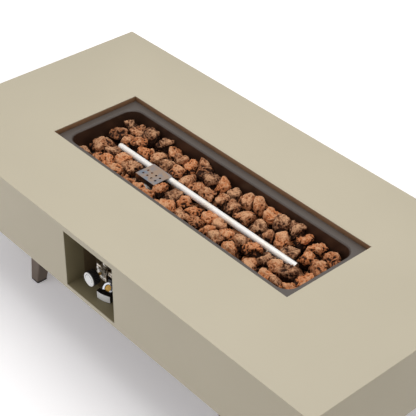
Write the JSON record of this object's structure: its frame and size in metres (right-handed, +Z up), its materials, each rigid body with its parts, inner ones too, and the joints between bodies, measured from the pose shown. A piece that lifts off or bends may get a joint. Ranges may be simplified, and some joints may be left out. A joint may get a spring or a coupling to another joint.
{
  "type": "fire pit table",
  "caption": "Long low rectangular fire pit table on splayed legs, with a gas burner in a tray of lava rock and its controls in a niche in the front.",
  "frame": {"origin": "on the floor under the middle of the table", "axes": "+X along the table to the right as seen from the niche side, the niche faces -Y, +Z up"},
  "size_m": [1.618, 0.79, 0.45],
  "materials": {
    "casing_paint": "matt powder coat, warm stone colour",
    "leg_paint": "matt powder coat, dark warm brown-grey",
    "pan_paint": "matt dark paint",
    "frame_paint": "satin dark grey powder coat",
    "tray_enamel": "heat resistant matt black-brown enamel",
    "stainless": "plain stainless steel",
    "zinc_steel": "zinc plated",
    "spring_steel": "bright spring wire",
    "cast_mixer": "as cast",
    "brass": "machined",
    "chrome": "polished",
    "pipe_aluminium": "drawn pipe",
    "black_plastic": "glossy black",
    "knob_plastic": "fine matt black",
    "white_face": "white printed face",
    "button_gold": "satin gold",
    "glide_plastic": "black",
    "electrode_ceramic": "white, unglazed",
    "lead_rubber": "silicone cover",
    "battery_wrap": "plain plastic wrap",
    "lava_rock": "rough, porous"
  },
  "bodies": {
    "table": {"back_apron": "casing_paint", "base_rails": "frame_paint", "burner_end_caps": "stainless", "burner_feed": "stainless", "burner_gas_pipe": "pipe_aluminium", "burner_rails": "frame_paint", "burner_saddles": "stainless", "burner_tray": "tray_enamel", "burner_tube": "stainless", "button_spring": "spring_steel", "cross_rails": "frame_paint", "feed_nuts": "zinc_steel", "flame_sensor": "stainless", "foot_glides": "glide_plastic", "frame_posts": "frame_paint", "front_apron": "casing_paint", "gas_inlet": "brass", "igniter_battery": "battery_wrap", "igniter_bezel": "chrome", "igniter_housing": "black_plastic", "igniter_label": "white_face", "injector": "brass", "inlet_elbow": "chrome", "inlet_pipe": "pipe_aluminium", "lava_rocks_back": "lava_rock", "lava_rocks_front": "lava_rock", "lava_rocks_lower": "lava_rock", "left_apron": "casing_paint", "leg_back_left": "leg_paint", "leg_back_right": "leg_paint", "leg_bolts": "zinc_steel", "leg_front_left": "leg_paint", "leg_front_right": "leg_paint", "leg_nuts": "zinc_steel", "leg_plates": "leg_paint", "mixer": "cast_mixer", "niche_back_pan": "pan_paint", "niche_box": "casing_paint", "niche_screws": "zinc_steel", "pilot_bracket": "stainless", "pilot_burner": "stainless", "pilot_cover": "stainless", "pilot_gas_pipe": "pipe_aluminium", "pipe_nuts": "brass", "right_apron": "casing_paint", "rim_rails": "frame_paint", "sensor_lead": "brass", "spark_ceramic": "electrode_ceramic", "spark_lead": "lead_rubber", "spark_rod": "stainless", "top_panel": "casing_paint", "top_stiffeners": "frame_paint", "valve_body": "chrome", "valve_nuts": "chrome", "valve_spring": "spring_steel"},
    "knob_slider": {"valve_plunger": "brass"},
    "knob_and_stem": {"valve_stem": "brass", "knob": "knob_plastic", "knob_face": "white_face"},
    "igniter_push_button": {"igniter_button": "button_gold"}
  },
  "joints": [
    {"name": "knob_push", "type": "slide", "parent": "table", "child": "knob_slider", "axis": [0, 1, 0], "range_m": [0, 0.004], "stiffness_N_per_m": 600, "springref_m": -0.005, "deforming": ["valve_spring"]},
    {"name": "knob_turn", "type": "hinge", "parent": "knob_slider", "child": "knob_and_stem", "pos_m": [0.002, -0.392, 0.332], "axis": [0, -1, 0], "range_deg": [0, 180]},
    {"name": "igniter_push", "type": "slide", "parent": "table", "child": "igniter_push_button", "axis": [-0.183, 0.683, -0.7071], "range_m": [0, 0.003], "stiffness_N_per_m": 500, "springref_m": -0.004, "deforming": ["button_spring"]}
  ]
}
